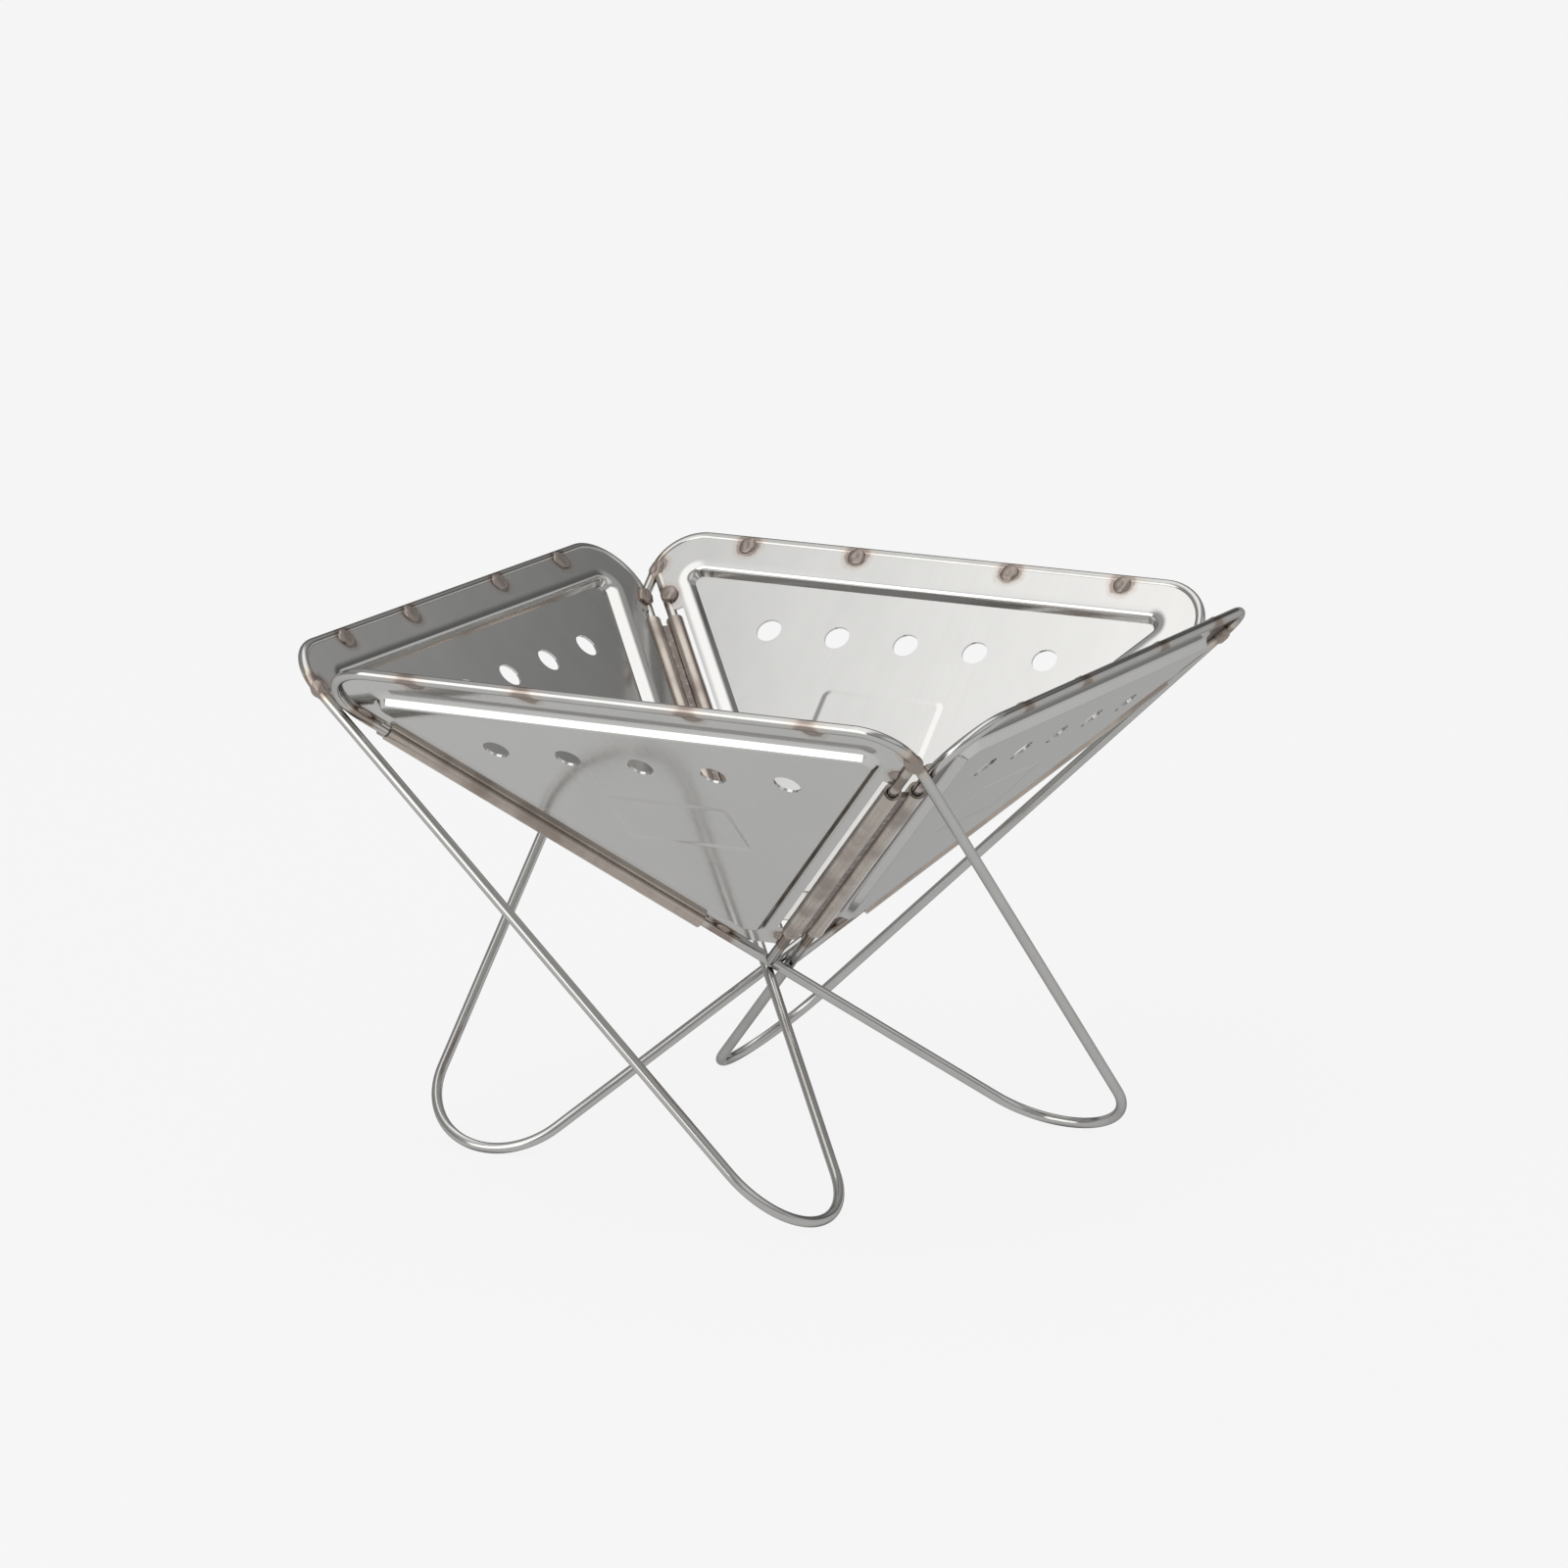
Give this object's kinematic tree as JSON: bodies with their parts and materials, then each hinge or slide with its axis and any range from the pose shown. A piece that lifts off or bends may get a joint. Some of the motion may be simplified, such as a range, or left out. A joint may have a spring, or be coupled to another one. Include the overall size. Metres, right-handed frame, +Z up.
{
  "type": "folding fire pit",
  "caption": "Folding stainless steel fire pit: stamped leaves in bent rod frames, hinged at the corners into an open pyramid bowl that stands on rod legs.",
  "frame": {"origin": "on the ground, under the middle of the bowl", "axes": "+Z up, -Y out of the leaf that carries the front rim, +X towards the right rim"},
  "size_m": [0.349, 0.349, 0.2462],
  "materials": {
    "sheet_steel": "satin stamped sheet",
    "rod_steel": "polished round rod",
    "hinge_steel": "heat-tinted tube and rod",
    "weld_metal": "dark oxidised weld"
  },
  "bodies": {
    "back_leaf": {"panel_back": "sheet_steel", "frame_back": "rod_steel", "hinge_rod_back": "hinge_steel", "welds_back": "weld_metal", "sleeve_back_left_a": "hinge_steel", "sleeve_back_left_b": "hinge_steel", "bridge_back_left": "weld_metal", "sleeve_back_right_b": "hinge_steel"},
    "left_leaf": {"panel_left": "sheet_steel", "frame_left": "rod_steel", "hinge_rod_left": "hinge_steel", "welds_left": "weld_metal", "sleeve_front_left_a": "hinge_steel", "sleeve_front_left_b": "hinge_steel", "bridge_front_left": "weld_metal"},
    "front_leaf": {"panel_front": "sheet_steel", "frame_front": "rod_steel", "hinge_rod_front": "hinge_steel", "welds_front": "weld_metal", "sleeve_front_right_a": "hinge_steel", "sleeve_front_right_b": "hinge_steel", "bridge_front_right": "weld_metal"},
    "right_leaf": {"panel_right": "sheet_steel", "frame_right": "rod_steel", "hinge_rod_right": "hinge_steel", "welds_right": "weld_metal", "sleeve_back_right_a": "hinge_steel"}
  },
  "joints": [
    {"name": "left_hinge", "type": "hinge", "parent": "back_leaf", "child": "left_leaf", "pos_m": [-0.00799, 0, 0.08802], "axis": [0.5872, -0.5872, -0.5572], "range_deg": [0, 18.8]},
    {"name": "front_hinge", "type": "hinge", "parent": "left_leaf", "child": "front_leaf", "pos_m": [0, -0.00799, 0.08802], "axis": [-0.5872, -0.5872, 0.5572], "range_deg": [0, 20.2]},
    {"name": "right_hinge", "type": "hinge", "parent": "front_leaf", "child": "right_leaf", "pos_m": [0.00799, 0, 0.08802], "axis": [-0.5872, 0.5872, -0.5572], "range_deg": [0, 19]}
  ],
  "couplings": [
    {"joint": "front_hinge", "follows": "left_hinge", "ratio": 1.0638},
    {"joint": "right_hinge", "follows": "left_hinge", "ratio": 1}
  ]
}
